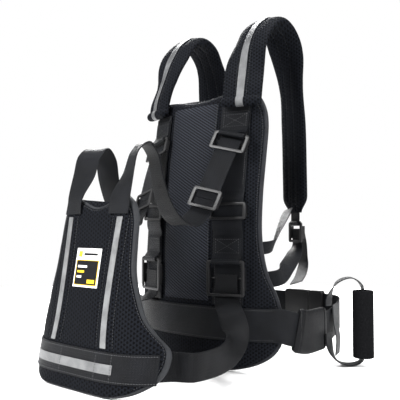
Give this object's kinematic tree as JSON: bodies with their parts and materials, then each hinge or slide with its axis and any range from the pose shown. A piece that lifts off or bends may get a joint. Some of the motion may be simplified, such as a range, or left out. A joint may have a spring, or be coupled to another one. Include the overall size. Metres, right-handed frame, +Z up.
{
  "type": "child safety harness vest",
  "caption": "Harness vest that ties a child's padded front panel by webbing to an adult's back pad with shoulder straps, waist belt, buckle and side handles.",
  "frame": {"origin": "middle of the back pad's flat foot, on the surface the harness stands on", "axes": "+Z up, +Y towards the adult who wears the pad, +X to the right when looking from the child's panel"},
  "size_m": [0.447, 0.5126, 0.5629],
  "materials": {
    "spacer_mesh": "diamond spacer mesh, matt",
    "lining": "plain woven lining, matt",
    "foam": "closed-cell foam sheet",
    "webbing": "ribbed polyester webbing, slight sheen",
    "binding": "folded binding tape",
    "plastic": "moulded acetal, satin",
    "reflective": "grey reflective tape",
    "grip_foam": "foam tube, fine grain",
    "patch_cloth": "woven patch"
  },
  "bodies": {
    "back_pad": {"pad_foam_core": "foam", "pad_face_mesh": "spacer_mesh", "pad_back_lining": "lining", "pad_edge_binding": "binding", "pad_centre_tongue": "spacer_mesh", "column_webbing_left": "webbing", "column_webbing_right": "webbing", "lower_slider_left": "plastic", "lower_slider_right": "plastic", "shoulder_pad_left": "spacer_mesh", "shoulder_pad_right": "spacer_mesh", "shoulder_tape_left": "reflective", "shoulder_tape_right": "reflective", "shoulder_cuff_left": "binding", "shoulder_cuff_right": "binding", "shoulder_webbing_left": "webbing", "shoulder_webbing_right": "webbing", "steady_strap_left": "webbing", "steady_strap_right": "webbing", "handle_sleeve_left": "webbing", "handle_sleeve_right": "webbing", "child_strap_left": "webbing", "child_strap_right": "webbing", "child_belt_left": "webbing", "child_belt_right": "webbing", "strap_link_left": "webbing", "strap_link_right": "webbing", "belt_webbing": "webbing", "belt_left": "webbing", "belt_right": "webbing", "belt_tail": "webbing", "buckle_female": "plastic"},
    "child_panel": {"child_foam_core": "foam", "child_face_mesh": "spacer_mesh", "child_lining": "lining", "child_edge_binding": "binding", "child_band": "webbing", "child_band_tape": "reflective", "child_stripe_left": "reflective", "child_stripe_right": "reflective", "patch": "patch_cloth"},
    "upper_slider_left": {"upper_slider_left": "plastic"},
    "middle_slider_left": {"middle_slider_left": "plastic"},
    "tri_glide_left": {"tri_glide_left": "plastic"},
    "ladder_lock_left": {"ladder_lock_left": "plastic", "shoulder_tail_left": "webbing"},
    "handle_left": {"handle_webbing_left": "webbing", "handle_grip_left": "grip_foam"},
    "upper_slider_right": {"upper_slider_right": "plastic"},
    "middle_slider_right": {"middle_slider_right": "plastic"},
    "tri_glide_right": {"tri_glide_right": "plastic"},
    "ladder_lock_right": {"ladder_lock_right": "plastic", "shoulder_tail_right": "webbing"},
    "handle_right": {"handle_webbing_right": "webbing", "handle_grip_right": "grip_foam"},
    "buckle_plug": {"buckle_male": "plastic"},
    "prong_lower": {"buckle_prong_lower": "plastic"},
    "prong_upper": {"buckle_prong_upper": "plastic"}
  },
  "joints": [
    {"name": "child_panel_slide", "type": "slide", "parent": "back_pad", "child": "child_panel", "axis": [0, 1, 0], "range_m": [-0.03, 0.04], "deforming": ["child_strap_left", "child_strap_right", "child_belt_left", "child_belt_right"]},
    {"name": "upper_slider_left_tilt", "type": "hinge", "parent": "back_pad", "child": "upper_slider_left", "pos_m": [-0.08308, 0.00873, 0.363], "axis": [0.9555, -0.1891, 0.2264], "range_deg": [-15, 10], "deforming": ["strap_link_left"]},
    {"name": "middle_slider_left_slide", "type": "slide", "parent": "back_pad", "child": "middle_slider_left", "axis": [0, 0.078, 0.997], "range_m": [-0.006, 0.006]},
    {"name": "tri_glide_left_slide", "type": "slide", "parent": "back_pad", "child": "tri_glide_left", "axis": [-0.1353, 0.4012, 0.9059], "range_m": [0, 0.03]},
    {"name": "ladder_lock_left_tilt", "type": "hinge", "parent": "back_pad", "child": "ladder_lock_left", "pos_m": [-0.09, 0.166, 0.226], "axis": [0.9404, 0.3401, 0], "range_deg": [-12, 12], "deforming": ["shoulder_webbing_left"]},
    {"name": "handle_left_swing", "type": "hinge", "parent": "back_pad", "child": "handle_left", "pos_m": [-0.17, 0.141, 0.073], "axis": [0, 0, 1], "range_deg": [-25, 25], "deforming": ["handle_webbing_left"]},
    {"name": "upper_slider_right_tilt", "type": "hinge", "parent": "back_pad", "child": "upper_slider_right", "pos_m": [0.08308, 0.00873, 0.363], "axis": [0.9555, 0.1891, -0.2264], "range_deg": [-15, 10], "deforming": ["strap_link_right"]},
    {"name": "middle_slider_right_slide", "type": "slide", "parent": "back_pad", "child": "middle_slider_right", "axis": [0, 0.078, 0.997], "range_m": [-0.006, 0.006]},
    {"name": "tri_glide_right_slide", "type": "slide", "parent": "back_pad", "child": "tri_glide_right", "axis": [0.1353, 0.4012, 0.9059], "range_m": [0, 0.03]},
    {"name": "ladder_lock_right_tilt", "type": "hinge", "parent": "back_pad", "child": "ladder_lock_right", "pos_m": [0.09, 0.166, 0.226], "axis": [0.9404, -0.3401, 0], "range_deg": [-12, 12], "deforming": ["shoulder_webbing_right"]},
    {"name": "handle_right_swing", "type": "hinge", "parent": "back_pad", "child": "handle_right", "pos_m": [0.17, 0.141, 0.073], "axis": [0, 0, 1], "range_deg": [-25, 25], "deforming": ["handle_webbing_right"]},
    {"name": "buckle_release", "type": "slide", "parent": "back_pad", "child": "buckle_plug", "axis": [1, 0, 0], "range_m": [0, 0.034], "deforming": ["belt_right"]},
    {"name": "prong_lower_press", "type": "hinge", "parent": "buckle_plug", "child": "prong_lower", "pos_m": [0.0439, 0.277, 0.0543], "axis": [0, 1, 0], "range_deg": [0, 6], "stiffness_Nm_per_rad": 0.4},
    {"name": "prong_upper_press", "type": "hinge", "parent": "buckle_plug", "child": "prong_upper", "pos_m": [0.0439, 0.277, 0.0917], "axis": [0, 1, 0], "range_deg": [-6, 0], "stiffness_Nm_per_rad": 0.4}
  ]
}
